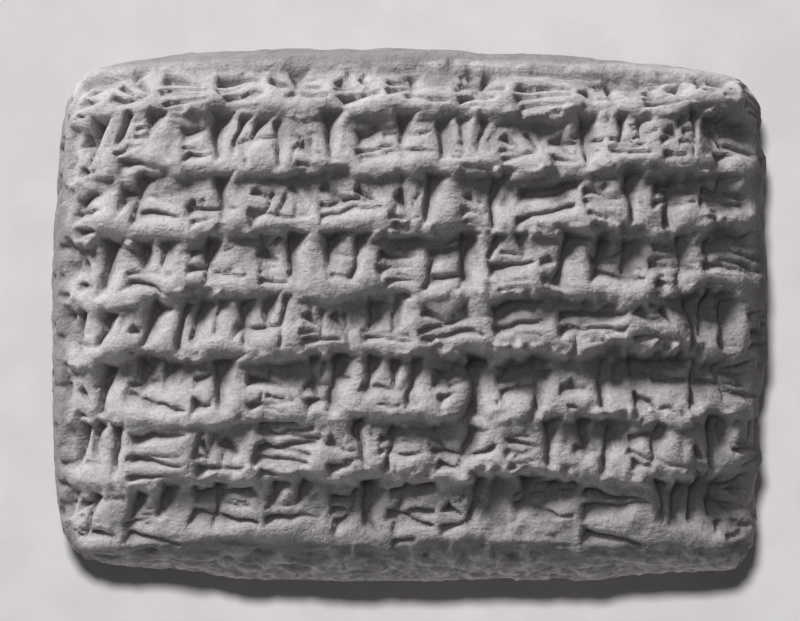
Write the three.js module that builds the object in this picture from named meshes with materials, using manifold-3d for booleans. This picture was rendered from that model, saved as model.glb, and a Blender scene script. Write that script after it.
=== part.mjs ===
// Cuneiform tablet: one pillow of clay, written on while damp with the corner of a reed stylus.
// It lies on its back. +X runs along the rows of writing, +Y points at the first row, +Z out of the face.
// The origin is the middle of the small flat on the back that the tablet rests on. Millimetres.

import * as THREE from "three";
import { mergeVertices } from "three/addons/utils/BufferGeometryUtils.js";
import Module from "manifold-3d";

const { lerp, smoothstep } = THREE.MathUtils;

// The clay body
const halfWidth = 31;
const halfHeight = 23.1;
const faceRise = 10.8; // written face above the girth, which is the widest line
const backDrop = 11.6; // back below the girth, before the resting flat is taken off it
const restCut = 0.35; // depth of that flat
const faceSwell = 3.3; // exponent of a section through the face: 2 is an ellipse, more is flatter
const backSwell = 2.4;
const faceCorner = 4; // how square the contours are in the middle of a face
const cornerBlend = 0.35; // share of the way out where they begin to take the outline's own corners

// Each edge bows out to its crest, and falls back towards its two ends.
const edges = {
  top: { crest: -9.5, fallBefore: 2.1, fallAfter: 2.5 },
  bottom: { crest: -2, fallBefore: 2.3, fallAfter: 1.2 },
  left: { crest: -3, fallBefore: 1.3, fallAfter: 1.7 },
  right: { crest: 7.5, fallBefore: 1.6, fallAfter: 1.9 },
};
// How square each corner of the outline is: pinched sharp on the right, rubbed round on the left.
const corners = { topLeft: 14, topRight: 28, bottomLeft: 20, bottomRight: 25 };

// Places on the face are measured along the clay from its middle: east along the rows, north to row one.
const rowPitch = 5.32;
const rowsOnFace = 8;
const firstRow = 22.35; // north of row one's top line
const rowStart = -30.4; // east of the first strokes
const rowEnd = 30.4;
const rowSag = { drop: 0.75, run: 14 }; // the rows droop towards their left end
const rowWave = { height: 0.22, turns: 0.31, shift: 1.7 }; // turns per millimetre, shift from row to row

// Every row is pressed in deepest at its top line, and comes up to the old surface at the row below.
const ledgeDepths = [0.85, 1.25, 1.3, 1.55, 1.3, 1.95, 1.35, 1.6];
const ledgeWalls = [0.8, 0.8, 0.9, 1.2, 1, 1.5, 1.1, 1.3]; // run of the wall above each top line
const rampPower = 1.7; // rows rise faster the nearer they come to the row below
// The right half is pressed in another way than the left: deeper ledges, wider walls, shallower posts.
const ledgeTurn = [-8, 12]; // east of where that change begins and ends
const ledgeGain = [0.85, 1.35];
const wallGain = [0.9, 1.6];
const postGain = [1, 0.74];
const ledgeSwing = { share: 0.3, turns: 0.42, shift: 2.3 }; // how the depth comes and goes along a row
const ledgeFade = 2.5; // length over which a ledge runs out at either end

// Strokes are pressed in groups.
const groupWidths = [4, 6.2]; // narrowest and widest
const groupGap = 0.25;
const groupHeight = 4.9;
const indent = 0.6; // most that a row starts late
const runOver = 4.5; // how much further every third row runs, round the right edge
const strokeDepths = { bar: 1.05, post: 1.35, hook: 1 };
const depthSpread = [0.72, 1.15];
const strokeTurn = 0.24; // how far strokes lean out of true, in radians
const postLean = 0.12; // posts lean to the left at their feet
const postLift = 0.14; // posts bite into the wall above them, as a share of the group's height
const hookLength = 2.3;

// A stroke is a three-sided pit. The run of each wall is a share of the depth.
const wallRun = 0.6;
const wallSkew = 0.34; // walls towards the upper left are steeper by this, those opposite flatter
const headRun = 0.4;
const spikeClearance = 2.2; // how many times its own depth the cutting spike stands out of the keel

// Two plainer rows on the back, past the lower edge
const rowsOnBack = 2;
const firstBackRow = -40.1;
const backRowEnd = 20;

// Small losses along the right edge
const chips = [
  { north: 8.7, radius: 1.3 },
  { north: -8.4, radius: 1.7 },
  { north: -13.2, radius: 1.2 },
];
const chipDepth = 0.55;

// The net of the solid
const netColumns = 16;
const netSides = 6;
const netEast = 31.3; // where the face's part of the net ends
const netNorth = 25.4;
const mergeGap = 1e-4;

const seeds = { first: 7741, perRow: 977 };

// ---------- the shape of the clay ----------

// How far out an edge lies at a place along it.
function edgeAt(edge, place, halfLength, out) {
  const before = place < edge.crest;
  const run = before ? edge.crest + halfLength : halfLength - edge.crest;
  const fall = before ? edge.fallBefore : edge.fallAfter;
  return out - fall * ((place - edge.crest) / run) ** 2;
}

// How far a point lies from the middle axis towards the outline: 0 at the axis, 1 on the outline.
function outwardness(x, y) {
  const across = Math.abs(x) / edgeAt(x > 0 ? edges.right : edges.left, y, halfHeight, halfWidth);
  const along = Math.abs(y) / edgeAt(y > 0 ? edges.top : edges.bottom, x, halfWidth, halfHeight);
  const upper = x > 0 ? corners.topRight : corners.topLeft;
  const lower = x > 0 ? corners.bottomRight : corners.bottomLeft;
  const contour = (power) => (across ** power + along ** power) ** (1 / power);
  const rim = contour(y > 0 ? upper : lower);
  return lerp(contour(faceCorner), rim, smoothstep(rim, cornerBlend, 1));
}

// Point of the clay's surface that lies in a direction from its centre.
function surfaceAlong(direction) {
  const front = direction.z > 0;
  const rise = front ? faceRise : backDrop;
  const swell = front ? faceSwell : backSwell;
  const point = direction.clone();
  const rounds = 12;
  for (let round = 0; round < rounds; round++) {
    const flat = outwardness(point.x, point.y) ** swell;
    point.divideScalar((flat + (Math.abs(point.z) / rise) ** swell) ** (1 / swell));
  }
  return point;
}

// A half-section, walked from the middle of the face over the edge to the middle of the back.
function walkSection(halfSize) {
  const steps = 720;
  const places = [{ arc: 0, out: 0, up: faceRise }];
  for (let step = 1; step <= steps; step++) {
    const turn = (Math.PI * step) / steps;
    const front = turn < Math.PI / 2;
    const power = 2 / (front ? faceSwell : backSwell);
    const out = halfSize * Math.sin(turn) ** power;
    const up = Math.sign(Math.cos(turn)) * (front ? faceRise : backDrop) * Math.abs(Math.cos(turn)) ** power;
    const last = places.at(-1);
    places.push({ arc: last.arc + Math.hypot(out - last.out, up - last.up), out, up });
  }
  return (arc) => {
    const next = Math.max(1, places.findIndex((place) => place.arc >= Math.abs(arc)));
    const [a, b] = [places[next - 1], places[next]];
    const share = (Math.abs(arc) - a.arc) / (b.arc - a.arc);
    return { out: Math.sign(arc) * lerp(a.out, b.out, share), up: lerp(a.up, b.up, share) };
  };
}

const sectionAcross = walkSection(halfWidth);
const sectionAlong = walkSection(halfHeight);

// Surface point at a place along the clay. A share of 1 is on the face, 0 at the girth, -1 on the back.
function surfaceAt(east, north, share = 1) {
  const across = sectionAcross(east);
  const along = sectionAlong(north);
  return surfaceAlong(new THREE.Vector3(across.out, along.out, (share * along.up * across.up) / faceRise));
}

// The surface's own axes at a place: x east, y north, z out of the clay.
function frameAt(east, north) {
  const step = 0.05;
  const eastward = surfaceAt(east + step, north).sub(surfaceAt(east - step, north)).normalize();
  const northward = surfaceAt(east, north + step).sub(surfaceAt(east, north - step));
  const outward = new THREE.Vector3().crossVectors(eastward, northward).normalize();
  northward.crossVectors(outward, eastward);
  return new THREE.Matrix4().makeBasis(eastward, northward, outward).setPosition(surfaceAt(east, north));
}

// ---------- the rows ----------

// North of a row's top line.
function topLine(row, east) {
  const sag = rowSag.drop * (1 - smoothstep(east, rowStart, rowStart + rowSag.run));
  const wave = rowWave.height * Math.sin(rowWave.turns * east + rowWave.shift * row);
  return firstRow - row * rowPitch - sag + wave;
}

// A gain of the left half that turns into another on the right.
function turnedAt(east, gain) {
  return lerp(...gain, smoothstep(east, ...ledgeTurn));
}

// Depth of a row's ledge at its top line.
function ledgeAt(row, east) {
  const runIn = smoothstep(east, rowStart - ledgeFade, rowStart);
  const runOut = 1 - smoothstep(east, rowEnd - ledgeFade, rowEnd);
  const swing = 1 + ledgeSwing.share * Math.sin(ledgeSwing.turns * east + ledgeSwing.shift * row);
  return ledgeDepths[row] * runIn * runOut * turnedAt(east, ledgeGain) * swing;
}

// Numbers from 0 to 1 in a fixed order, so that the tablet is written the same way each time.
function numberStream(start) {
  const multiplier = 48271;
  const modulus = 2147483647;
  let state = start;
  return () => {
    state = (state * multiplier) % modulus;
    return state / modulus;
  };
}

// Strokes within a group are placed by shares of its width and height, from its upper left corner.
const bar = (x, y, length, size = 1) => ({ kind: "bar", x, y, length, size, heading: 0 });
const post = (x, y, length, size = 1) => ({
  kind: "post",
  x,
  y: y - postLift,
  length: length + postLift / 2,
  size,
  heading: -Math.PI / 2 - postLean,
});
const hook = (x, y, size = 1) => ({ kind: "hook", x, y, length: 1, size, heading: -Math.PI / 4 });
const several = (count, make) => Array.from({ length: count }, (_, index) => make(index));

const groups = [
  function stackedBars(random) {
    const count = random() < 0.4 ? 2 : 3;
    const size = count === 2 ? 1.25 : 1;
    return several(count, (i) => bar(0.06 * random(), (i + 0.5) / count, lerp(0.75, 1, random()), size));
  },
  function rankedPosts(random) {
    const count = random() < 0.5 ? 2 : 3;
    const size = count === 2 ? 1.2 : 1;
    return several(count, (i) => post((i + 0.35) / count, 0.14 * random(), lerp(0.45, 0.8, random()), size));
  },
  function barsAndPost(random) {
    const at = lerp(0.55, 0.75, random());
    return [bar(0.02, 0.3, at), bar(0.04, 0.72, at), post(at, 0.06, 0.78, 1.15)];
  },
  function postsOnBar(random) {
    const low = lerp(0.6, 0.75, random());
    return [post(0.24, 0.05, 0.5), post(0.66, 0.1 * random(), 0.5), bar(0.02, low, 0.98, 1.15)];
  },
  function hookAndPost(random) {
    return [hook(0.1, lerp(0.25, 0.45, random()), 1.1), bar(0.05, 0.78, 0.5), post(0.6, 0.04, 0.8, 1.2)];
  },
  function crossedBars(random) {
    const low = lerp(0.55, 0.7, random());
    return [bar(0.02, 0.22, 0.9), bar(0.3, low, 0.68), post(0.4, 0.1, 0.75)];
  },
  function hooksOverBar(random) {
    return [hook(0.08, 0.22), hook(lerp(0.48, 0.6, random()), 0.2), bar(0.02, 0.7, 0.95, 1.2)];
  },
];

// All strokes of one row. `lineAt` gives the north of its top line, `depthAt` the depth of its ledge.
function writeRow(row, from, to, lineAt, depthAt) {
  const random = numberStream(seeds.first + seeds.perRow * row);
  const strokes = [];
  let left = from + indent * random();
  while (left < to) {
    const width = lerp(...groupWidths, random());
    const reach = { bar: width, post: groupHeight, hook: hookLength };
    const group = groups[Math.floor(random() * groups.length)];
    for (const stroke of group(random)) {
      const east = left + stroke.x * width;
      const fall = stroke.y * groupHeight; // below the top line
      const share = Math.max(0, fall / rowPitch);
      const gain = stroke.kind === "post" ? turnedAt(east, postGain) : 1;
      strokes.push({
        east,
        north: lineAt(east) - fall,
        sunk: depthAt(east) * (1 - share ** rampPower),
        tilt: Math.atan((depthAt(east) / rowPitch) * rampPower * share ** (rampPower - 1)),
        heading: stroke.heading + strokeTurn * lerp(-1, 1, random()),
        length: stroke.length * reach[stroke.kind],
        depth: strokeDepths[stroke.kind] * stroke.size * gain * lerp(...depthSpread, random()),
      });
    }
    left += width + groupGap;
  }
  return strokes;
}

function writeTablet() {
  const strokes = [];
  for (let row = 0; row < rowsOnFace; row++) {
    const end = row % 3 === 1 ? rowEnd + runOver : rowEnd;
    const lineAt = (east) => topLine(row, east);
    const depthAt = (east) => ledgeAt(row, east);
    strokes.push(...writeRow(row, rowStart, end, lineAt, depthAt));
  }
  for (let row = 0; row < rowsOnBack; row++) {
    const lineAt = () => firstBackRow - row * rowPitch;
    strokes.push(...writeRow(rowsOnFace + row, -backRowEnd, backRowEnd, lineAt, () => 0));
  }
  return strokes;
}

// ---------- solids ----------

const wasm = await Module();
wasm.setup();

function solidFrom(geometry) {
  geometry.deleteAttribute("normal");
  geometry.deleteAttribute("uv");
  const closed = mergeVertices(geometry, mergeGap);
  const vertProperties = new Float32Array(closed.attributes.position.array);
  const triVerts = new Uint32Array(closed.index.array);
  return new wasm.Manifold(new wasm.Mesh({ numProp: 3, vertProperties, triVerts }));
}

function geometryFrom(solid) {
  const { vertProperties, triVerts } = solid.getMesh();
  const geometry = new THREE.BufferGeometry();
  geometry.setAttribute("position", new THREE.BufferAttribute(vertProperties, 3));
  geometry.setIndex(new THREE.BufferAttribute(triVerts, 1));
  geometry.computeVertexNormals();
  return geometry;
}

// The net's lines from the lower edge to the upper one: for each row, one at the foot and one at the rim
// of its wall. Each line gives its north and how far it is pressed in.
function netLines() {
  const plain = (north) => ({ north, sunk: 0 });
  const lines = [
    () => plain(-netNorth),
    (east) => plain((topLine(rowsOnFace, east) - netNorth) / 2),
    (east) => plain(topLine(rowsOnFace, east)),
  ];
  for (let row = rowsOnFace - 1; row >= 0; row--) {
    lines.push((east) => ({ north: topLine(row, east), sunk: ledgeAt(row, east) }));
    lines.push((east) => plain(topLine(row, east) + ledgeWalls[row] * turnedAt(east, wallGain)));
  }
  lines.push(() => plain(netNorth));
  return lines;
}

// The pillow: a box's net blown out onto the surface, with the ledges pressed in and the flat cut off below.
function claySolid() {
  const lines = netLines();
  const lastLine = lines.length - 1;
  const net = new THREE.BoxGeometry(2, 2, 2, netColumns, lastLine, netSides);
  const knots = net.attributes.position;
  for (let i = 0; i < knots.count; i++) {
    const share = knots.getZ(i);
    const east = knots.getX(i) * netEast;
    const line = Math.round(((knots.getY(i) + 1) / 2) * lastLine);
    const { north, sunk } = lines[line](east);
    const pressed = share === 1 && sunk > 0;
    const spot = pressed
      ? new THREE.Vector3(0, 0, -sunk).applyMatrix4(frameAt(east, north))
      : surfaceAt(east, north, share);
    knots.setXYZ(i, ...spot);
  }
  const below = new THREE.BoxGeometry(2 * halfWidth, 2 * halfHeight, backDrop);
  below.translate(0, 0, restCut - 1.5 * backDrop);
  return solidFrom(net).subtract(solidFrom(below));
}

// The stylus's corner, as a three-sided spike that leaves one stroke when it is taken out of the clay.
function strokeSolid({ east, north, sunk, tilt, heading, length, depth }) {
  const upperLeft = (3 * Math.PI) / 4;
  const run = (side) => {
    const facing = Math.cos(heading + side * (Math.PI / 2) - upperLeft);
    return depth * (wallRun - wallSkew * Math.SQRT2 * facing);
  };
  const keel = new THREE.Vector3(headRun * depth, 0, -depth);
  const rim = [[0, run(1)], [0, -run(-1)], [length, 0]].map(([x, y]) => new THREE.Vector3(x, y, 0));
  const [left, right, tail] = rim.map((end) => end.sub(keel).multiplyScalar(spikeClearance).add(keel));
  const faces = [keel, left, tail, keel, tail, right, keel, right, left, left, right, tail];
  const stance = frameAt(east, north);
  stance.multiply(new THREE.Matrix4().makeTranslation(0, 0, -sunk));
  stance.multiply(new THREE.Matrix4().makeRotationX(-tilt));
  stance.multiply(new THREE.Matrix4().makeRotationZ(heading));
  return solidFrom(new THREE.BufferGeometry().setFromPoints(faces).applyMatrix4(stance));
}

// A lump that leaves a small hollow in the right edge.
function chipSolid({ north, radius }) {
  const lump = new THREE.IcosahedronGeometry(radius, 0);
  const rim = edgeAt(edges.right, north, halfHeight, halfWidth);
  return solidFrom(lump.translate(rim + radius - chipDepth, north, 0));
}

let clay = claySolid();
for (const stroke of writeTablet()) clay = clay.subtract(strokeSolid(stroke));
for (const chip of chips) clay = clay.subtract(chipSolid(chip));
// Crumbs that the strokes cut loose on all sides fall away.
const tabletBody = clay.decompose().reduce((most, piece) => (piece.volume() > most.volume() ? piece : most));

const tablet = new THREE.Mesh(
  geometryFrom(tabletBody).translate(0, 0, backDrop - restCut),
  new THREE.MeshStandardMaterial({ color: 0xb5b0aa, roughness: 0.92, metalness: 0 }),
);
tablet.name = "tablet";

const group = new THREE.Group();
group.add(tablet);

export default group;
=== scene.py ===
import math

import bpy
import numpy as np
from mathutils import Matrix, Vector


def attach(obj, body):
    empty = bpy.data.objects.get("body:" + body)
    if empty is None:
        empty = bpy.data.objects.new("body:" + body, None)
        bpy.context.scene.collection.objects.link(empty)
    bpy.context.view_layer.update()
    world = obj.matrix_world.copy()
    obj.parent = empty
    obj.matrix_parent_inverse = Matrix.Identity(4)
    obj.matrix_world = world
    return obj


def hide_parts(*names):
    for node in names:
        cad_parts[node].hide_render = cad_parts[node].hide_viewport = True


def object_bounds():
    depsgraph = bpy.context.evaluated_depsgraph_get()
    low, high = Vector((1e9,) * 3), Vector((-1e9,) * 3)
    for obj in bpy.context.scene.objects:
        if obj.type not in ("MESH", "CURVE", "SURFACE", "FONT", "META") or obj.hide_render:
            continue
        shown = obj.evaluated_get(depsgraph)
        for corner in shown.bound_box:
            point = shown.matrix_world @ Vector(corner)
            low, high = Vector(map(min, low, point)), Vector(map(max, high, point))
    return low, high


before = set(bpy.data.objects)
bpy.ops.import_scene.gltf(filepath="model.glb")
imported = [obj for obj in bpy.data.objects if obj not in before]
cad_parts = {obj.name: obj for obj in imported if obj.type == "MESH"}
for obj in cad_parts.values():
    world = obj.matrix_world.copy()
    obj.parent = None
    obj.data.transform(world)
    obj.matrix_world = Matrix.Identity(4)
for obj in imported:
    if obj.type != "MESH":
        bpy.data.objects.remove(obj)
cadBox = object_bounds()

mm = 0.001  # one millimetre in scene units


# ---------- the lump of clay, in millimetres from the middle of its girth ----------

clay = dict(
    halfWidth=31.0, halfHeight=23.1,
    faceRise=10.8, backDrop=11.6,  # above and below the girth, which is the widest line
    restCut=0.35,  # the flat that it rests on
    faceSwell=3.3, backSwell=2.4, faceCorner=4.0,
    edges=dict(  # crest of the bow, and how far it falls back to either end
        top=(-9.5, 2.1, 2.5), bottom=(-2.0, 2.3, 1.2), left=(-3.0, 1.3, 1.7), right=(7.5, 1.6, 1.9)),
    corners=dict(topLeft=14.0, topRight=28.0, bottomLeft=20.0, bottomRight=25.0),
    cornerBlend=0.35,  # share of the way out where contours begin to take the outline's corners
    sectionSteps=720, settleRounds=12,
    netEast=31.3, netNorth=25.4,  # where the face's part of the net ends
    netColumns=380, netRows=310, netSides=64,
)


def smoothStep(x, low, high):
    t = np.clip((x - low) / (high - low), 0.0, 1.0)
    return t * t * (3.0 - 2.0 * t)


def lerp(a, b, share):
    return a + (b - a) * share


def edgeAt(edge, place, halfLength, out):  # how far out an edge lies at a place along it
    crest, fallBefore, fallAfter = clay["edges"][edge]
    before = place < crest
    run = np.where(before, crest + halfLength, halfLength - crest)
    return out - np.where(before, fallBefore, fallAfter) * ((place - crest) / run) ** 2


def outwardness(x, y):  # 0 on the middle axis, 1 on the outline
    width, height, corner = clay["halfWidth"], clay["halfHeight"], clay["corners"]
    across = np.abs(x) / np.where(x > 0, edgeAt("right", y, height, width), edgeAt("left", y, height, width))
    along = np.abs(y) / np.where(y > 0, edgeAt("top", x, width, height), edgeAt("bottom", x, width, height))
    upper = np.where(x > 0, corner["topRight"], corner["topLeft"])
    lower = np.where(x > 0, corner["bottomRight"], corner["bottomLeft"])
    power = np.where(y > 0, upper, lower)
    rim = (across ** power + along ** power) ** (1 / power)
    soft = (across ** clay["faceCorner"] + along ** clay["faceCorner"]) ** (1 / clay["faceCorner"])
    return lerp(soft, rim, smoothStep(rim, clay["cornerBlend"], 1.0))


def claySize(p):  # 1 on the surface, less inside
    front = p[:, 2] > 0
    rise = np.where(front, clay["faceRise"], clay["backDrop"])
    swell = np.where(front, clay["faceSwell"], clay["backSwell"])
    return (outwardness(p[:, 0], p[:, 1]) ** swell + (np.abs(p[:, 2]) / rise) ** swell) ** (1 / swell)


def surfaceAlong(direction):
    p = np.array(direction, dtype=float)
    for _ in range(clay["settleRounds"]):
        p /= claySize(p)[:, None]
    return p


def walkSection(halfSize):  # from the middle of the face over the edge to the middle of the back
    turn = np.linspace(0.0, math.pi, clay["sectionSteps"] + 1)
    front = turn < math.pi / 2
    power = np.where(front, 2 / clay["faceSwell"], 2 / clay["backSwell"])
    out = halfSize * np.sin(turn).clip(0) ** power
    rise = np.where(front, clay["faceRise"], clay["backDrop"])
    up = np.sign(np.cos(turn)) * rise * np.abs(np.cos(turn)) ** power
    arc = np.concatenate([[0.0], np.cumsum(np.hypot(np.diff(out), np.diff(up)))])
    return arc, out, up


sectionAcross = walkSection(clay["halfWidth"])
sectionAlong = walkSection(clay["halfHeight"])


def alongSection(section, place):
    arc, out, up = section
    return np.sign(place) * np.interp(np.abs(place), arc, out), np.interp(np.abs(place), arc, up)


def surfaceAt(east, north, share=1.0):  # share: 1 on the face, 0 at the girth, -1 on the back
    outX, upX = alongSection(sectionAcross, east)
    outY, upY = alongSection(sectionAlong, north)
    return surfaceAlong(np.stack([outX, outY, share * upX * upY / clay["faceRise"]], axis=-1))


def unit(v):
    return v / np.linalg.norm(v, axis=-1, keepdims=True)


def claySlope(p):  # gradient of claySize
    step = 0.02
    parts = []
    for axis in range(3):
        nudge = np.zeros(3)
        nudge[axis] = step
        parts.append((claySize(p + nudge) - claySize(p - nudge)) / (2 * step))
    return np.stack(parts, axis=-1)


# ---------- the rows of strokes ----------

writing = dict(
    seed=7741, rowSeed=977, fineSeed=31, fineRowSeed=463,
    rowPitch=5.32, rowsOnFace=8, firstRow=22.35, rowStart=-30.4, rowEnd=30.4,
    rowSag=0.75, sagRun=14, rowWave=0.22, waveTurns=0.31, waveShift=1.7,
    ledgeDepths=(0.85, 1.25, 1.3, 1.55, 1.3, 1.95, 1.35, 1.6),
    ledgeWalls=(0.8, 0.8, 0.9, 1.2, 1.0, 1.5, 1.1, 1.3),  # how far each brow slopes down
    ledgeSwing=0.3, swingTurns=0.42, swingShift=2.3, ledgeFade=2.5,
    rampPower=1.7,  # rows rise faster the nearer they come to the next brow
    ledgeTurn=(-8, 12),  # where the left half's way of pressing turns into the right half's
    ledgeGain=(0.85, 1.35), wallGain=(0.9, 1.6), postGain=(1.0, 0.74), ladderShare=(0.45, 0.8),
    groupWidths=(4.0, 6.2), groupGap=0.25, groupHeight=4.9, indent=0.6, runOver=4.5,
    depths=dict(bar=1.05, post=1.35, hook=1.0), depthSpread=(0.72, 1.15), hookLength=2.3,
    strokeTurn=0.24, postLean=0.12,
    wallRun=0.56, wallSkew=0.3, headRun=0.4, wallSpread=0.3,
    tailStretch=1.45, tailSlope=1.6,  # tails stay deep and then end short
    postLift=0.14,  # posts bite into the brow above them, as a share of the group's height
    ladderDepths=(0.25, 0.5), ladderPitch=0.75, combDepths=(0.4, 0.75), combPitch=1.25,
    midDepths=(0.45, 1.0), midShare=0.75,  # a bar across the middle of most signs
    midPlaces=(0.42, 0.62), midLengths=(0.7, 1),
    lateShare=0.25, lateMore=0.7, lateTurn=(-25, 25),  # signs with fine strokes on top, more to the right
    rowsOnBack=2, firstBackRow=-40.1, backRowEnd=20.0,
)


def topLine(row, east):
    w = writing
    sag = w["rowSag"] * (1 - smoothStep(east, w["rowStart"], w["rowStart"] + w["sagRun"]))
    wave = w["rowWave"] * np.sin(w["waveTurns"] * east + w["waveShift"] * row)
    return w["firstRow"] - row * w["rowPitch"] - sag + wave


def turnedAt(east, gain):  # the right half is pressed in another way than the left
    return lerp(*writing[gain], smoothStep(east, *writing["ledgeTurn"]))


def ledgeAt(row, east):
    w = writing
    fade = smoothStep(east, w["rowStart"] - w["ledgeFade"], w["rowStart"])
    fade = fade * (1 - smoothStep(east, w["rowEnd"] - w["ledgeFade"], w["rowEnd"]))
    swing = 1 + w["ledgeSwing"] * np.sin(w["swingTurns"] * east + w["swingShift"] * row)
    return w["ledgeDepths"][row] * fade * turnedAt(east, "ledgeGain") * swing


def numberStream(start):  # numbers from 0 to 1 in a fixed order
    multiplier, modulus = 48271, 2147483647
    state = start

    def draw():
        nonlocal state
        state = state * multiplier % modulus
        return state / modulus
    return draw


def bar(x, y, length, size=1.0):
    return dict(kind="bar", x=x, y=y, length=length, size=size, heading=0.0)


def post(x, y, length, size=1.0):
    return dict(kind="post", x=x, y=y - writing["postLift"], length=length + 0.5 * writing["postLift"],
                size=size, heading=-math.pi / 2 - writing["postLean"])


def hook(x, y, size=1.0):
    return dict(kind="hook", x=x, y=y, length=1.0, size=size, heading=-math.pi / 4)


def stackedBars(draw):
    count = 2 if draw() < 0.4 else 3
    size = 1.25 if count == 2 else 1.0
    return [bar(0.06 * draw(), (i + 0.5) / count, lerp(0.75, 1, draw()), size) for i in range(count)]


def rankedPosts(draw):
    count = 2 if draw() < 0.5 else 3
    size = 1.2 if count == 2 else 1.0
    return [post((i + 0.35) / count, 0.14 * draw(), lerp(0.45, 0.8, draw()), size) for i in range(count)]


def barsAndPost(draw):
    at = lerp(0.55, 0.75, draw())
    return [bar(0.02, 0.3, at), bar(0.04, 0.72, at), post(at, 0.06, 0.78, 1.15)]


def postsOnBar(draw):
    low = lerp(0.6, 0.75, draw())
    return [post(0.24, 0.05, 0.5), post(0.66, 0.1 * draw(), 0.5), bar(0.02, low, 0.98, 1.15)]


def hookAndPost(draw):
    return [hook(0.1, lerp(0.25, 0.45, draw()), 1.1), bar(0.05, 0.78, 0.5), post(0.6, 0.04, 0.8, 1.2)]


def crossedBars(draw):
    low = lerp(0.55, 0.7, draw())
    return [bar(0.02, 0.22, 0.9), bar(0.3, low, 0.68), post(0.4, 0.1, 0.75)]


def hooksOverBar(draw):
    return [hook(0.08, 0.22), hook(lerp(0.48, 0.6, draw()), 0.2), bar(0.02, 0.7, 0.95, 1.2)]


def ladder(draw, width, height):  # a stack of fine bars
    count = 3 + int(3 * draw())
    x, y = 0.4 * draw(), 0.4 * draw()
    length = lerp(0.4, 0.75, draw())
    pitch = writing["ladderPitch"] * lerp(0.85, 1.3, draw()) / height
    return [bar(x + 0.1 * draw(), y + (i + 0.3 * draw()) * pitch, length * lerp(0.7, 1.1, draw()))
            for i in range(count)]


def comb(draw, width, height):  # a rank of fine posts
    count = 1 + int(2 * draw())
    x, y = 0.5 * draw(), 0.4 * draw()
    length = lerp(0.4, 0.7, draw())
    pitch = writing["combPitch"] * lerp(0.8, 1.3, draw()) / width
    return [post(x + (i + 0.3 * draw()) * pitch, y + 0.15 * draw(), length * lerp(0.7, 1.1, draw()))
            for i in range(count)]


groups = [stackedBars, rankedPosts, barsAndPost, postsOnBar, hookAndPost, crossedBars, hooksOverBar]


def fineStrokes(draw, left, width):  # a ladder or a comb, and how deep it is pressed
    w = writing
    isLadder = draw() < turnedAt(left, "ladderShare")
    kind, reach = (ladder, "ladderDepths") if isLadder else (comb, "combDepths")
    return kind(draw, width, w["groupHeight"]), lerp(*w[reach], draw())


def writeRow(row, start, end, lineAt, depthAt):
    w = writing
    draw = numberStream(w["seed"] + w["rowSeed"] * row)
    drawFine = numberStream(w["seed"] + w["fineRowSeed"] * row + w["fineSeed"])
    strokes = []

    def place(stroke, left, width, draw, depths):
        kind = stroke["kind"]
        reach = dict(bar=width, post=w["groupHeight"], hook=w["hookLength"])
        east = left + stroke["x"] * width
        fall = stroke["y"] * w["groupHeight"]
        share, power = max(0.0, fall / w["rowPitch"]), w["rampPower"]
        gain = turnedAt(east, "postGain") if kind == "post" else 1
        strokes.append(dict(
            kind=kind, size=min(1.0, depths[kind] / w["depths"][kind]),
            east=east, north=lineAt(east) - fall,
            sunk=depthAt(east) * (1 - share ** power),
            tilt=math.atan(depthAt(east) / w["rowPitch"] * power * share ** (power - 1)),
            heading=stroke["heading"] + w["strokeTurn"] * lerp(-1, 1, draw()),
            length=stroke["length"] * reach[kind],
            depth=depths[kind] * stroke["size"] * lerp(*w["depthSpread"], draw()) * gain,
            spread=1 + w["wallSpread"] * lerp(-1, 1, drawFine())))

    def placeFine(few, depth, left, width):
        for stroke in few:
            place(stroke, left, width, drawFine, dict(bar=depth, post=depth))

    left = start + w["indent"] * draw()
    while left < end:
        width = lerp(*w["groupWidths"], draw())
        early = fineStrokes(drawFine, left, width)
        late = fineStrokes(drawFine, left, width)
        placeFine(*early, left, width)
        for stroke in groups[int(draw() * len(groups))](draw):
            place(stroke, left, width, draw, w["depths"])
        if drawFine() < w["midShare"]:
            depth = lerp(*w["midDepths"], drawFine())
            across = bar(0, lerp(*w["midPlaces"], drawFine()), lerp(*w["midLengths"], drawFine()))
            placeFine([across], depth, left, width)
        if drawFine() <= smoothStep(left, *w["lateTurn"]) * w["lateMore"] + w["lateShare"]:
            placeFine(*late, left, width)
        left += width + w["groupGap"]
    return strokes


def writeTablet():
    w = writing
    strokes = []
    for row in range(w["rowsOnFace"]):
        end = w["rowEnd"] + (w["runOver"] if row % 3 == 1 else 0)  # every third row runs over the edge
        strokes += writeRow(row, w["rowStart"], end, lambda e: topLine(row, e), lambda e: ledgeAt(row, e))
    for row in range(w["rowsOnBack"]):
        line = w["firstBackRow"] - row * w["rowPitch"]
        end = w["backRowEnd"]
        strokes += writeRow(w["rowsOnFace"] + row, -end, end, lambda e: line, lambda e: 0.0)
    return strokes


# ---------- the fine skin ----------

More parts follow.
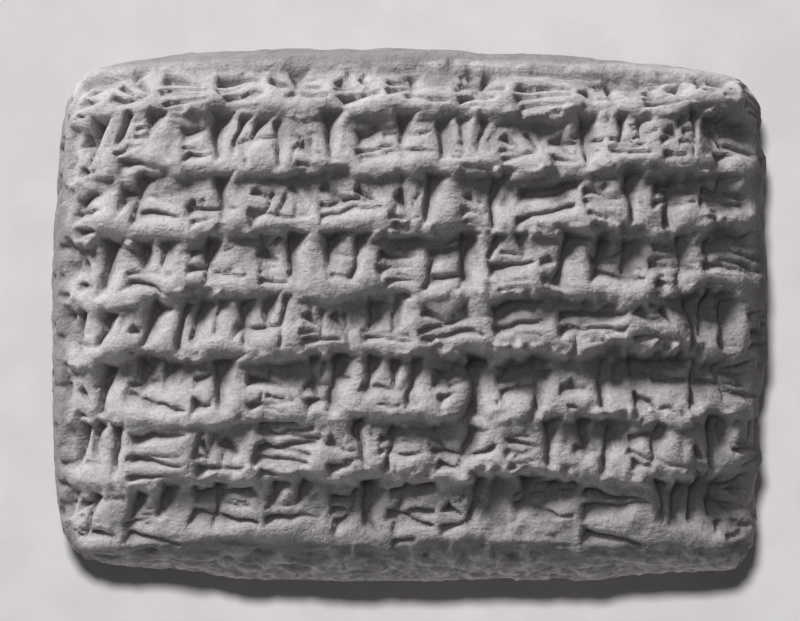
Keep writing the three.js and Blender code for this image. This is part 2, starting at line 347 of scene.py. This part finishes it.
def boxNet(columns, rows, sides):  # lattice points on a box, and the quads between them, facing out
    size = np.array([columns, rows, sides])
    quads = []
    for axis in range(3):
        a, b = (axis + 1) % 3, (axis + 2) % 3
        for end in (0, 1):
            i, j = np.meshgrid(np.arange(size[a]), np.arange(size[b]), indexing="ij")
            ring = [(0, 0), (1, 0), (1, 1), (0, 1)] if end else [(0, 0), (0, 1), (1, 1), (1, 0)]
            corner = np.zeros((i.size, 4, 3), dtype=np.int64)
            for k, (di, dj) in enumerate(ring):
                corner[:, k, axis] = end * size[axis]
                corner[:, k, a] = i.ravel() + di
                corner[:, k, b] = j.ravel() + dj
            quads.append(corner)
    corner = np.concatenate(quads)
    key = (corner[..., 0] * (rows + 1) + corner[..., 1]) * (sides + 1) + corner[..., 2]
    unique, index = np.unique(key.ravel(), return_inverse=True)
    point = np.stack([unique // ((rows + 1) * (sides + 1)), unique // (sides + 1) % (rows + 1),
                      unique % (sides + 1)], axis=-1)
    return point / size * 2.0 - 1.0, index.reshape(-1, 4)


def latticeNoise(p, grain, seed):  # smooth noise from -1 to 1, `grain` apart
    q = p / grain + 57.3
    cell = np.floor(q).astype(np.int64)
    f = q - cell
    f = f * f * f * (f * (f * 6 - 15) + 10)
    table = np.random.default_rng(seed).uniform(-1, 1, 4096)
    total = np.zeros(len(p))
    for corner in range(8):
        bit = np.array([corner & 1, corner >> 1 & 1, corner >> 2 & 1])
        spot = cell + bit
        hashed = (spot[:, 0] * 73856093 ^ spot[:, 1] * 19349663 ^ spot[:, 2] * 83492791) & 4095
        weight = np.prod(np.where(bit, f, 1 - f), axis=1)
        total += weight * table[hashed]
    return total


noiseSeeds = dict(  # a seed for each noise, counted on from it for each row or axis
    lumps=3, broadLumps=4, crumbs=5, broadCrumbs=6, pores=7, knobs=8, browCrumbs=9, broadBrowCrumbs=10,
    waver=11, broadWaver=21, line=40, fineLine=50, ledge=60, wall=70, roll=80,
    pits=91, fibre=92, crossFibre=93, scratch=94, rule=95, ragged=96,
)

skin = dict(
    lip=0.2, lipSkew=0.8, lipWidth=0.4,  # clay pushed up round a stroke: share of its depth, and spread
    crestRounding=dict(bar=0.2, post=0.24, hook=0.2),  # how round the clay stays between strokes
    waver=0.2, waverGrain=1.1, broadWaver=1.8, broadWaverGrain=3.1,  # how far stroke edges wander
    reachShare=2.2, reachMore=0.8,  # how far past its own length a stroke is felt
    leastLean=0.3,  # clay that leans away further than this isn't pressed
    wear=((5, 0.025), (25, 0.08), (100, 0.2)),  # rounds of smoothing, and how far crests may stand above it
    lumps=dict(height=0.35, grain=4.2, broadGrain=9.0, broadShare=0.6, sink=0.4, offLedges=(-0.3, 0.2)),
    knobs=dict(height=0.13, grain=1.7),
    browCrumbs=dict(height=0.18, grain=0.65, broadGrain=1.3),
    crumbs=dict(height=0.04, grain=0.55, broadGrain=1.2, broadShare=0.7),
    pores=dict(depth=0.06, grain=0.6, spread=(0.45, 0.8)),
    triangles=190000,
)

brows = dict(
    line=0.35, lineGrain=2.6, fineLine=0.12, fineLineGrain=0.8,  # how the brows wander
    ledge=0.35, ledgeGrain=4.0, wall=0.5, wallGrain=3.0,  # how their depth and width vary
    roll=0.4, rollWidth=0.9, rollGrain=2.4, rollSpread=(-0.9, 0.5),  # the swollen lower rim of each row
    crumblyFrom=(-0.1, 0.3), crumblyTo=(0.7, 1.2),
)


def pressStrokes(place, normal, relief, strokes):
    w = writing
    east = np.array([s["east"] for s in strokes])
    north = np.array([s["north"] for s in strokes])
    step = 0.05
    origin = surfaceAt(east, north)
    xAxis = unit(surfaceAt(east + step, north) - surfaceAt(east - step, north))
    zAxis = unit(np.cross(xAxis, surfaceAt(east, north + step) - surfaceAt(east, north - step)))
    yAxis = np.cross(zAxis, xAxis)
    wander = np.stack([latticeNoise(place, skin["waverGrain"], noiseSeeds["waver"] + axis)
                       + skin["broadWaver"]
                       * latticeNoise(place, skin["broadWaverGrain"], noiseSeeds["broadWaver"] + axis)
                       for axis in range(3)], axis=-1)
    strayed = place + skin["waver"] * wander
    for i, stroke in enumerate(strokes):
        depth, length = stroke["depth"], stroke["length"]
        base = origin[i] - zAxis[i] * stroke["sunk"]
        tilt = stroke["tilt"]
        up = zAxis[i] * math.cos(tilt) + yAxis[i] * math.sin(tilt)
        side = yAxis[i] * math.cos(tilt) - zAxis[i] * math.sin(tilt)
        cosH, sinH = math.cos(stroke["heading"]), math.sin(stroke["heading"])
        along = xAxis[i] * cosH + side * sinH
        aside = side * cosH - xAxis[i] * sinH
        middle = base + along * length / 2
        reach = length / 2 + skin["reachShare"] * depth + skin["reachMore"]
        near = np.flatnonzero(((place - middle) ** 2).sum(axis=1) < reach * reach)
        if not len(near):
            continue
        rel = strayed[near] - base
        u, v, z = rel @ along, rel @ aside, (place[near] - base) @ up
        lean = normal[near] @ up
        near, u, v, z, lean = (a[lean > skin["leastLean"]] for a in (near, u, v, z, lean))
        keel = np.array([w["headRun"] * depth, 0.0, -depth])
        runs, lips = [], []
        for sign in (1, -1):
            facing = math.cos(stroke["heading"] + sign * math.pi / 2 - 3 * math.pi / 4)
            runs.append(depth * stroke["spread"] * (w["wallRun"] - w["wallSkew"] * math.sqrt(2) * facing))
            lips.append(skin["lip"] * depth * (1 - skin["lipSkew"] * facing))
        rim = [np.array([0, runs[0], 0]), np.array([0, -runs[1], 0]),
               np.array([length * w["tailStretch"], 0, 0])]
        pit = (u - length) * w["tailSlope"]
        for a, b in ((0, 2), (2, 1), (1, 0)):
            n = np.cross(rim[a] - keel, rim[b] - keel)
            plane = keel[2] - ((u - keel[0]) * n[0] + (v - keel[1]) * n[1]) / n[2]
            pit = np.maximum(pit, plane)
        target = (pit - z) / lean
        old = relief[near]
        away = np.clip(pit, 0, None) / depth * runs[0]
        lip = np.where(v > 0, lips[0], lips[1]) * np.exp(-(away / skin["lipWidth"]) ** 2)
        k = skin["crestRounding"][stroke["kind"]] * stroke["size"]
        relief[near] = -k * np.logaddexp(-(old + lip) / k, -target / k)
    return relief


def netEdges(quads, count):
    pairs = np.concatenate([quads[:, [k, (k + 1) % 4]] for k in range(4)])
    pairs.sort(axis=1)
    keys = np.unique(pairs[:, 0] * count + pairs[:, 1])
    return keys // count, keys % count


def smoothOver(values, ends, rounds):
    a, b = ends
    count = len(values)
    degree = np.bincount(a, minlength=count) + np.bincount(b, minlength=count)
    for _ in range(rounds):
        total = np.bincount(a, values[b], count) + np.bincount(b, values[a], count)
        values = 0.5 * values + 0.5 * total / degree
    return values


def wearDown(relief, ends):  # crests are rubbed round, creases stay sharp
    for rounds, stand in skin["wear"]:
        level = smoothOver(relief, ends, rounds) + stand
        k = 0.5 * stand
        relief = -k * np.logaddexp(-relief / k, -level / k)
    return relief


margins = dict(
    strip=1.1, lowerStart=-0.5,  # how softly the blank margins begin
    pitSize=0.85, pitDepth=0.38, pitSpread=(0.15, 0.6), lowerPits=0.6,
    fibreSize=0.75, fibreStretch=2.2, fibreHeight=0.2, fibreSink=0.6, crossFibre=0.7, crossFibreSize=1.7,
    scratchHeight=0.1, scratchFlat=0.6, scratchSink=0.5,
    rule=0.25, ruleDepth=0.4, ruleWidth=0.16, ruleWaver=0.15, ruleGrain=3.0, ruleStart=5.0, ruleFade=6,
    chips=((8.7, 1.3), (-8.4, 1.7), (-13.2, 1.2)), chipDepth=0.55,  # north along the right edge, and radius
    chipTall=0.6, chipEdge=(0.2, 1.1),
)


def ridged(p, stretch, grain, seed):
    return 1 - 2 * np.abs(latticeNoise(p * np.array(stretch), grain, seed))


def roughenMargins(place, east, north):
    m, w, c, seeds = margins, writing, clay, noiseSeeds
    relief = np.zeros(len(place))
    leftward = smoothStep(-east, -w["rowStart"] - m["strip"], -w["rowStart"] + m["strip"])
    pits = smoothStep(latticeNoise(place, m["pitSize"], seeds["pits"]), *m["pitSpread"])
    relief -= m["pitDepth"] * pits * leftward
    below = smoothStep(topLine(w["rowsOnFace"], east) - north, m["lowerStart"], m["strip"])
    fibre = ridged(place, (1 / m["fibreStretch"], 1, 1), m["fibreSize"], seeds["fibre"])
    crossSize = m["crossFibreSize"] * m["fibreSize"]
    cross = ridged(place, (1, 1, 1 / m["fibreStretch"]), crossSize, seeds["crossFibre"])
    fibre = fibre + m["crossFibre"] * cross
    relief += below * (m["fibreHeight"] * (fibre - m["fibreSink"]) - m["lowerPits"] * m["pitDepth"] * pits)
    rightward = smoothStep(east, w["rowEnd"] - m["strip"], w["rowEnd"] + m["strip"])
    scratch = ridged(place, (1, 1 / m["fibreStretch"], m["scratchFlat"]), m["fibreSize"], seeds["scratch"])
    relief += m["scratchHeight"] * (scratch - m["scratchSink"]) * rightward
    waver = m["ruleWaver"] * latticeNoise(place, m["ruleGrain"], seeds["rule"])
    away = north - w["firstRow"] - m["rule"] - waver
    rule = np.exp(-(away / m["ruleWidth"]) ** 2)
    ruled = smoothStep(east, m["ruleStart"], m["ruleStart"] + m["ruleFade"])
    relief -= m["ruleDepth"] * rule * ruled * (1 - rightward)
    for along, radius in m["chips"]:
        centre = np.array([edgeAt("right", along, c["halfHeight"], c["halfWidth"]), along, 0.0])
        away = np.linalg.norm((place - centre) * np.array([1, 1, m["chipTall"]]), axis=1) / radius
        relief -= m["chipDepth"] * (1 - smoothStep(away, *m["chipEdge"]))
    return relief


def pressLedges(place, east, north):  # depth of the rows' ledges, and masks of their brows and rolls
    w, b, seeds = writing, brows, noiseSeeds
    ledge = np.zeros(len(place))
    brow = np.zeros(len(place))
    roll = np.zeros(len(place))
    for row in range(w["rowsOnFace"]):
        line = topLine(row, east) + b["line"] * latticeNoise(place, b["lineGrain"], seeds["line"] + row)
        line = line + b["fineLine"] * latticeNoise(place, b["fineLineGrain"], seeds["fineLine"] + row)
        uneven = latticeNoise(place, b["ledgeGrain"], seeds["ledge"] + row)
        depth = ledgeAt(row, east) * (1 + b["ledge"] * uneven)
        ramp = 1 - np.clip((line - north) / w["rowPitch"], 0, 1) ** w["rampPower"]
        wide = w["ledgeWalls"][row] * turnedAt(east, "wallGain")
        wide = wide * (1 + b["wall"] * latticeNoise(place, b["wallGrain"], seeds["wall"] + row))
        wall = 1 - (north - line) / wide
        ledge = np.maximum(ledge, depth * np.clip(np.minimum(ramp, wall), 0, 1))
        swollen = np.exp(-((north - line - wide - b["rollWidth"]) / b["rollWidth"]) ** 2)
        patchy = latticeNoise(place, b["rollGrain"], seeds["roll"] + row)
        swollen = swollen * smoothStep(patchy, *b["rollSpread"])
        roll = np.maximum(roll, swollen * smoothStep(depth, 0, 1))
        crumbly = depth * smoothStep(wall, *b["crumblyFrom"]) * (1 - smoothStep(wall, *b["crumblyTo"]))
        brow = np.maximum(brow, crumbly)
    return ledge, brow, roll


def twoNoises(place, settings, name, broadName):
    fine = latticeNoise(place, settings["grain"], noiseSeeds[name])
    broad = latticeNoise(place, settings["broadGrain"], noiseSeeds[broadName])
    return fine + settings.get("broadShare", 1) * broad


def weather(place, relief, ledge, brow):  # lumps, knobs, crumbs and pores
    lumps, knobs, pores = skin["lumps"], skin["knobs"], skin["pores"]
    swells = twoNoises(place, lumps, "lumps", "broadLumps") - lumps["sink"]
    relief += lumps["height"] * swells * smoothStep(-ledge, *lumps["offLedges"])
    crumbs = skin["browCrumbs"]
    relief += crumbs["height"] * brow * twoNoises(place, crumbs, "browCrumbs", "broadBrowCrumbs")
    relief += knobs["height"] * latticeNoise(place, knobs["grain"], noiseSeeds["knobs"])
    relief += skin["crumbs"]["height"] * twoNoises(place, skin["crumbs"], "crumbs", "broadCrumbs")
    holes = smoothStep(latticeNoise(place, pores["grain"], noiseSeeds["pores"]), *pores["spread"])
    relief -= pores["depth"] * holes
    return relief


def makeSkin():
    c = clay
    net, quads = boxNet(c["netColumns"], c["netRows"], c["netSides"])
    east, north = net[:, 0] * c["netEast"], net[:, 1] * c["netNorth"]
    place = surfaceAt(east, north, net[:, 2])
    normal = unit(claySlope(place))
    onFace = net[:, 2] > 0.999
    ledge, brow, roll = pressLedges(place, east, north)
    relief = np.where(onFace, brows["roll"] * roll - ledge, 0)
    relief = pressStrokes(place, normal, relief, writeTablet())
    relief = wearDown(relief, netEdges(quads, len(place)))
    relief = weather(place, relief, ledge, brow * onFace)
    relief += roughenMargins(place, east, north)
    place = place + normal * relief[:, None]
    place[:, 2] = np.maximum(place[:, 2], c["restCut"] - c["backDrop"])
    place[:, 2] += c["backDrop"] - c["restCut"]
    low, high = np.array(cadBox[0]) / mm, np.array(cadBox[1]) / mm
    place = np.clip(place, low, high)
    return place, quads


def meshFrom(name, place, quads):
    mesh = bpy.data.meshes.new(name)
    mesh.vertices.add(len(place))
    mesh.vertices.foreach_set("co", (place * mm).astype(np.float32).ravel())
    mesh.loops.add(quads.size)
    mesh.loops.foreach_set("vertex_index", quads.astype(np.int32).ravel())
    mesh.polygons.add(len(quads))
    mesh.polygons.foreach_set("loop_start", np.arange(0, quads.size, 4, dtype=np.int32))
    mesh.update(calc_edges=True)
    mesh.validate()
    return mesh


def thinOut(mesh, name, triangles):  # spends the triangles where the relief is
    rough = bpy.data.objects.new(name, mesh)
    bpy.context.scene.collection.objects.link(rough)
    thin = rough.modifiers.new("thin", "DECIMATE")
    thin.ratio = triangles / (2 * len(mesh.polygons))
    thin.use_collapse_triangulate = True
    view = bpy.context.evaluated_depsgraph_get()
    final = bpy.data.meshes.new_from_object(rough.evaluated_get(view))
    bpy.data.objects.remove(rough)
    final.name = name
    for polygon in final.polygons:
        polygon.use_smooth = True
    return final


place, quads = makeSkin()
print("skin pressed:", len(place), "points")
mesh = thinOut(meshFrom("tabletRough", place, quads), "tabletSkin", skin["triangles"])
print("skin thinned to", len(mesh.polygons), "triangles")
tablet = bpy.data.objects.new("tabletClay", mesh)
bpy.context.scene.collection.objects.link(tablet)
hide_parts("tablet")
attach(tablet, "root")


# ---------- clay material ----------

finish = dict(
    darkClay=(0.23, 0.216, 0.217), paleClay=(0.5, 0.472, 0.478),
    speck=(0.17, 0.16, 0.16), dust=(0.5, 0.475, 0.475),
    # the first colour on the next line is painted shade, laid into the hollows
    hollowShade=(0.13, 0.122, 0.122), patina=(0.18, 0.169, 0.169),
    roughness=0.95, specular=0.2,
    clouds=dict(size=2.6, detail=4.0, low=0.3, high=0.7),
    grain=dict(size=0.22, detail=2.0, low=0.2, high=0.8),
    crumbs=dict(size=0.748, detail=3.0, low=0.3, high=0.7),
    specks=dict(size=0.286, detail=1.0, low=0.6, high=0.75),
    powder=dict(size=0.88, detail=5.0, low=0.42, high=0.62),
    streaks=dict(size=0.3, detail=2.0, low=0.3, high=0.7, stretch=(4, 1, 1)),
    patches=dict(size=2.2, detail=1.0, low=0.45, high=0.6),
    cloudShare=0.4, grainShare=0.6, mottleShare=0.7, crestHighlightShare=0.3,  # what makes the clay pale: random mottling, and a painted highlight on raised crests
    # the first share on the next line sets how strongly hollows are darkened as painted shade
    hollowShadeShare=0.4, patinaShare=0.75, speckShare=0.3, dustShare=0.8,
    grainHeight=0.022, crumbHeight=0.05, streakHeight=0.03,
)


def newGroup(name, inputs, outputs):
    group = bpy.data.node_groups.new(name, "ShaderNodeTree")
    for label, kind, value in inputs:
        socket = group.interface.new_socket(name=label, in_out="INPUT", socket_type=kind)
        socket.default_value = value
    for label, kind in outputs:
        group.interface.new_socket(name=label, in_out="OUTPUT", socket_type=kind)
    return group, group.nodes.new("NodeGroupInput"), group.nodes.new("NodeGroupOutput")


def mathNode(tree, operation, *values):
    node = tree.nodes.new("ShaderNodeMath")
    node.operation = operation
    for socket, value in zip(node.inputs, values):
        if isinstance(value, bpy.types.NodeSocket):
            tree.links.new(value, socket)
        else:
            socket.default_value = value
    return node.outputs[0]


def mottleGroup():  # cloudy noise, pulled apart between two levels
    group, given, result = newGroup("softMottle", [
        ("Size", "NodeSocketFloat", 1.0), ("Stretch", "NodeSocketVector", (1.0, 1.0, 1.0)),
        ("Detail", "NodeSocketFloat", 3.0), ("Low", "NodeSocketFloat", 0.35),
        ("High", "NodeSocketFloat", 0.65)], [("Value", "NodeSocketFloat")])
    spot = group.nodes.new("ShaderNodeTexCoord")
    noise = group.nodes.new("ShaderNodeTexNoise")
    scale = mathNode(group, "DIVIDE", 1 / mm, given.outputs["Size"])
    stretched = group.nodes.new("ShaderNodeVectorMath")
    stretched.operation = "DIVIDE"
    group.links.new(spot.outputs["Object"], stretched.inputs[0])
    group.links.new(given.outputs["Stretch"], stretched.inputs[1])
    group.links.new(stretched.outputs["Vector"], noise.inputs["Vector"])
    group.links.new(scale, noise.inputs["Scale"])
    group.links.new(given.outputs["Detail"], noise.inputs["Detail"])
    spread = group.nodes.new("ShaderNodeMapRange")
    spread.interpolation_type = "SMOOTHSTEP"
    group.links.new(noise.outputs["Fac"], spread.inputs["Value"])
    group.links.new(given.outputs["Low"], spread.inputs["From Min"])
    group.links.new(given.outputs["High"], spread.inputs["From Max"])
    group.links.new(spread.outputs["Result"], result.inputs["Value"])
    return group


def placeMottle(tree, group, size, detail=3.0, low=0.35, high=0.65, stretch=(1, 1, 1)):
    node = tree.nodes.new("ShaderNodeGroup")
    node.node_tree = group
    for label, value in zip(("Size", "Stretch", "Detail", "Low", "High"), (size, stretch, detail, low, high)):
        node.inputs[label].default_value = value
    return node.outputs["Value"]


def mixColour(tree, share, first, second, blend="MIX"):
    node = tree.nodes.new("ShaderNodeMix")
    node.data_type = "RGBA"
    node.blend_type = blend
    for label, value in (("Factor", share), ("A", first), ("B", second)):
        socket = node.inputs[label]
        if isinstance(value, bpy.types.NodeSocket):
            tree.links.new(value, socket)
        elif isinstance(value, tuple):
            socket.default_value = (*value, 1)
        else:
            socket.default_value = value
    return node.outputs["Result"]


def meshMask(tree, name):
    node = tree.nodes.new("ShaderNodeAttribute")
    node.attribute_name = name
    return node.outputs["Fac"]


def scaled(tree, value, share):
    return mathNode(tree, "MULTIPLY", value, share)


def bumped(tree, height, distance, under=None):
    node = tree.nodes.new("ShaderNodeBump")
    node.inputs["Distance"].default_value = distance * mm
    tree.links.new(height, node.inputs["Height"])
    if under is not None:
        tree.links.new(under, node.inputs["Normal"])
    return node.outputs["Normal"]


def clayMaterial(mottle):
    f = finish
    material = bpy.data.materials.new("driedClay")
    material.use_nodes = True
    tree = material.node_tree
    shader = tree.nodes["Principled BSDF"]
    shader.inputs["Roughness"].default_value = f["roughness"]
    shader.inputs["Specular IOR Level"].default_value = f["specular"]
    clouds = placeMottle(tree, mottle, **f["clouds"])
    grain = placeMottle(tree, mottle, **f["grain"])
    tone = mathNode(tree, "ADD", scaled(tree, clouds, f["cloudShare"]), scaled(tree, grain, f["grainShare"]))
    # painted highlight: raised crests are made paler, as if lit
    paintedHighlight = scaled(tree, meshMask(tree, "crest"), f["crestHighlightShare"])
    tone = mathNode(tree, "ADD", scaled(tree, tone, f["mottleShare"]), paintedHighlight)
    colour = mixColour(tree, tone, f["darkClay"], f["paleClay"])
    colour = mixColour(tree, scaled(tree, meshMask(tree, "blank"), f["patinaShare"]), colour, f["patina"])
    specks = placeMottle(tree, mottle, **f["specks"])
    colour = mixColour(tree, scaled(tree, specks, f["speckShare"]), colour, f["speck"])
    powder = mathNode(tree, "MULTIPLY", placeMottle(tree, mottle, **f["powder"]), meshMask(tree, "dusty"))
    colour = mixColour(tree, scaled(tree, powder, f["dustShare"]), colour, f["dust"])
    # painted shade: the clay is darkened in its hollows, where shade falls
    colour = mixColour(tree, scaled(tree, meshMask(tree, "shadedHollow"), f["hollowShadeShare"]), colour, f["hollowShade"])
    tree.links.new(colour, shader.inputs["Base Color"])
    streaks = placeMottle(tree, mottle, **f["streaks"])
    streaked = mathNode(tree, "MULTIPLY", streaks, placeMottle(tree, mottle, **f["patches"]))
    normal = bumped(tree, placeMottle(tree, mottle, **f["crumbs"]), f["crumbHeight"])
    normal = bumped(tree, streaked, f["streakHeight"], normal)
    normal = bumped(tree, grain, f["grainHeight"], normal)
    tree.links.new(normal, shader.inputs["Normal"])
    return material


masks = dict(
    crestRounds=30, crestRise=0.12,  # how far a crest stands above its surroundings to get its full painted highlight
    # how deep a place lies below its surroundings to get its full painted shade
    hollowRounds=120, hollowDrop=0.6,
    blankSoft=0.9,
    ragged=1.2, raggedGrain=1.5, dustReach=3, dustBare=0.5,  # the dusty lower margin's upper edge
)


def meshPlaces(mesh):
    flat = np.empty(len(mesh.vertices) * 3, dtype=np.float32)
    mesh.vertices.foreach_get("co", flat)
    return flat.reshape(-1, 3).astype(float) / mm - np.array([0, 0, clay["backDrop"] - clay["restCut"]])


def arcOf(section, across):  # how far along the face a place is, from how far out it is
    arc, out, up = section
    front = up >= 0
    return np.sign(across) * np.interp(np.abs(across), out[front], arc[front])


def writeMask(mesh, name, values):
    layer = mesh.attributes.new(name, "FLOAT", "POINT")
    layer.data.foreach_set("value", np.clip(values, 0, 1).astype(np.float32))


def markMesh(mesh):
    m, w = masks, writing
    p = meshPlaces(mesh)
    rise = (claySize(p) - 1) / np.linalg.norm(claySlope(p), axis=1)
    ends = np.empty(len(mesh.edges) * 2, dtype=np.int32)
    mesh.edges.foreach_get("vertices", ends)
    ends = ends.reshape(-1, 2).astype(np.int64).T
    # the crest mask marks where a painted highlight goes, on raised places
    crest = rise - smoothOver(rise, ends, m["crestRounds"])
    # the next mask marks where painted shade goes, in the hollows
    shadedHollow = smoothOver(rise, ends, m["hollowRounds"]) - rise
    writeMask(mesh, "crest", smoothStep(crest, 0, m["crestRise"]))
    writeMask(mesh, "shadedHollow", smoothStep(shadedHollow, 0, m["hollowDrop"]))
    east, north = arcOf(sectionAcross, p[:, 0]), arcOf(sectionAlong, p[:, 1])
    last = topLine(w["rowsOnFace"], east)
    soft = m["blankSoft"]
    first = topLine(0, east)
    written = smoothStep(north, last, last + soft) * (1 - smoothStep(north, first, first + soft))
    written = written * smoothStep(east, w["rowStart"] - soft, w["rowStart"] + soft)
    written = written * (1 - smoothStep(east, w["rowEnd"], w["rowEnd"] + 2 * soft)) * (p[:, 2] > 0)
    ragged = m["ragged"] * latticeNoise(p, m["raggedGrain"], noiseSeeds["ragged"])
    below = 1 - smoothStep(north + ragged, last - m["dustReach"] * soft, last)
    writeMask(mesh, "blank", (1 - written) * (1 - m["dustBare"] * below))
    writeMask(mesh, "dusty", below)


markMesh(tablet.data)
mottle = mottleGroup()
tablet.data.materials.append(clayMaterial(mottle))
print("clay coloured")


# ---------- floor, lights and camera ----------

stage = dict(
    floorSize=2.0, floorTone=(0.82, 0.79, 0.8), floorShade=(0.77, 0.74, 0.75), paperMottle=6.0,
    paperRoughness=0.9,
    key=dict(azimuth=125, elevation=22, distance=0.6, size=0.2, power=5.6),
    softbox=dict(azimuth=120, elevation=75, distance=0.8, size=0.7, power=1.0),
    bounce=dict(azimuth=255, elevation=4, distance=0.4, size=0.15, power=0.36),
    floorLamp=dict(azimuth=104, elevation=81, distance=0.9, size=0.07, power=6.3),
    fill=0.05, lampsAim=11,  # how high over the floor the lamps point, in millimetres
    cameraHeight=0.7, frameWidth=69.47,  # what the camera sees across at the girth, in millimetres
    aim=(-0.78, 0.33), sensorWidth=36.0, clipEnd=10.0,
)


def makeFloor():
    half = stage["floorSize"] / 2
    mesh = bpy.data.meshes.new("floor")
    corners = [(-half, -half, 0), (half, -half, 0), (half, half, 0), (-half, half, 0)]
    mesh.from_pydata(corners, [], [(0, 1, 2, 3)])
    floor = bpy.data.objects.new("floor", mesh)
    bpy.context.scene.collection.objects.link(floor)
    material = bpy.data.materials.new("palePaper")
    material.use_nodes = True
    tree = material.node_tree
    shader = tree.nodes["Principled BSDF"]
    shader.inputs["Roughness"].default_value = stage["paperRoughness"]
    clouds = placeMottle(tree, mottle, stage["paperMottle"])
    tone = mixColour(tree, clouds, stage["floorShade"], stage["floorTone"])
    tree.links.new(tone, shader.inputs["Base Color"])
    floor.data.materials.append(material)
    return floor


def makeLamp(name, lit, azimuth, elevation, distance, size, power):  # shines on one object alone
    azimuth, elevation = math.radians(azimuth), math.radians(elevation)
    way = np.array([math.cos(azimuth) * math.cos(elevation), math.sin(azimuth) * math.cos(elevation),
                    math.sin(elevation)])
    light = bpy.data.lights.new(name, "AREA")
    light.shape = "DISK"
    light.size = size
    light.energy = power
    lamp = bpy.data.objects.new(name, light)
    bpy.context.scene.collection.objects.link(lamp)
    lamp.location = way * distance + np.array([0, 0, stage["lampsAim"] * mm])
    lamp.rotation_euler = (math.pi / 2 - elevation, 0, azimuth + math.pi / 2)
    only = bpy.data.collections.new(name + "Lights")
    only.objects.link(lit)
    lamp.light_linking.receiver_collection = only


def makeLights(floor):
    for name, lit in (("key", tablet), ("softbox", tablet), ("bounce", tablet), ("floorLamp", floor)):
        makeLamp(name, lit, **stage[name])
    world = bpy.data.worlds.new("studio")
    world.use_nodes = True
    world.node_tree.nodes["Background"].inputs["Color"].default_value = (1, 1, 1, 1)
    world.node_tree.nodes["Background"].inputs["Strength"].default_value = stage["fill"]
    bpy.context.scene.world = world


def makeCamera():
    lens = bpy.data.cameras.new("camera")
    camera = bpy.data.objects.new("camera", lens)
    bpy.context.scene.collection.objects.link(camera)
    girth = clay["backDrop"] - clay["restCut"]
    lens.sensor_width = stage["sensorWidth"]
    lens.lens = lens.sensor_width * stage["cameraHeight"] / (stage["frameWidth"] * mm)
    lens.clip_end = stage["clipEnd"]
    camera.location = (stage["aim"][0] * mm, stage["aim"][1] * mm, girth * mm + stage["cameraHeight"])
    bpy.context.scene.camera = camera


makeLights(makeFloor())
makeCamera()
print("floor, lamps and camera placed")
bpy.context.scene.view_settings.view_transform = "Standard"
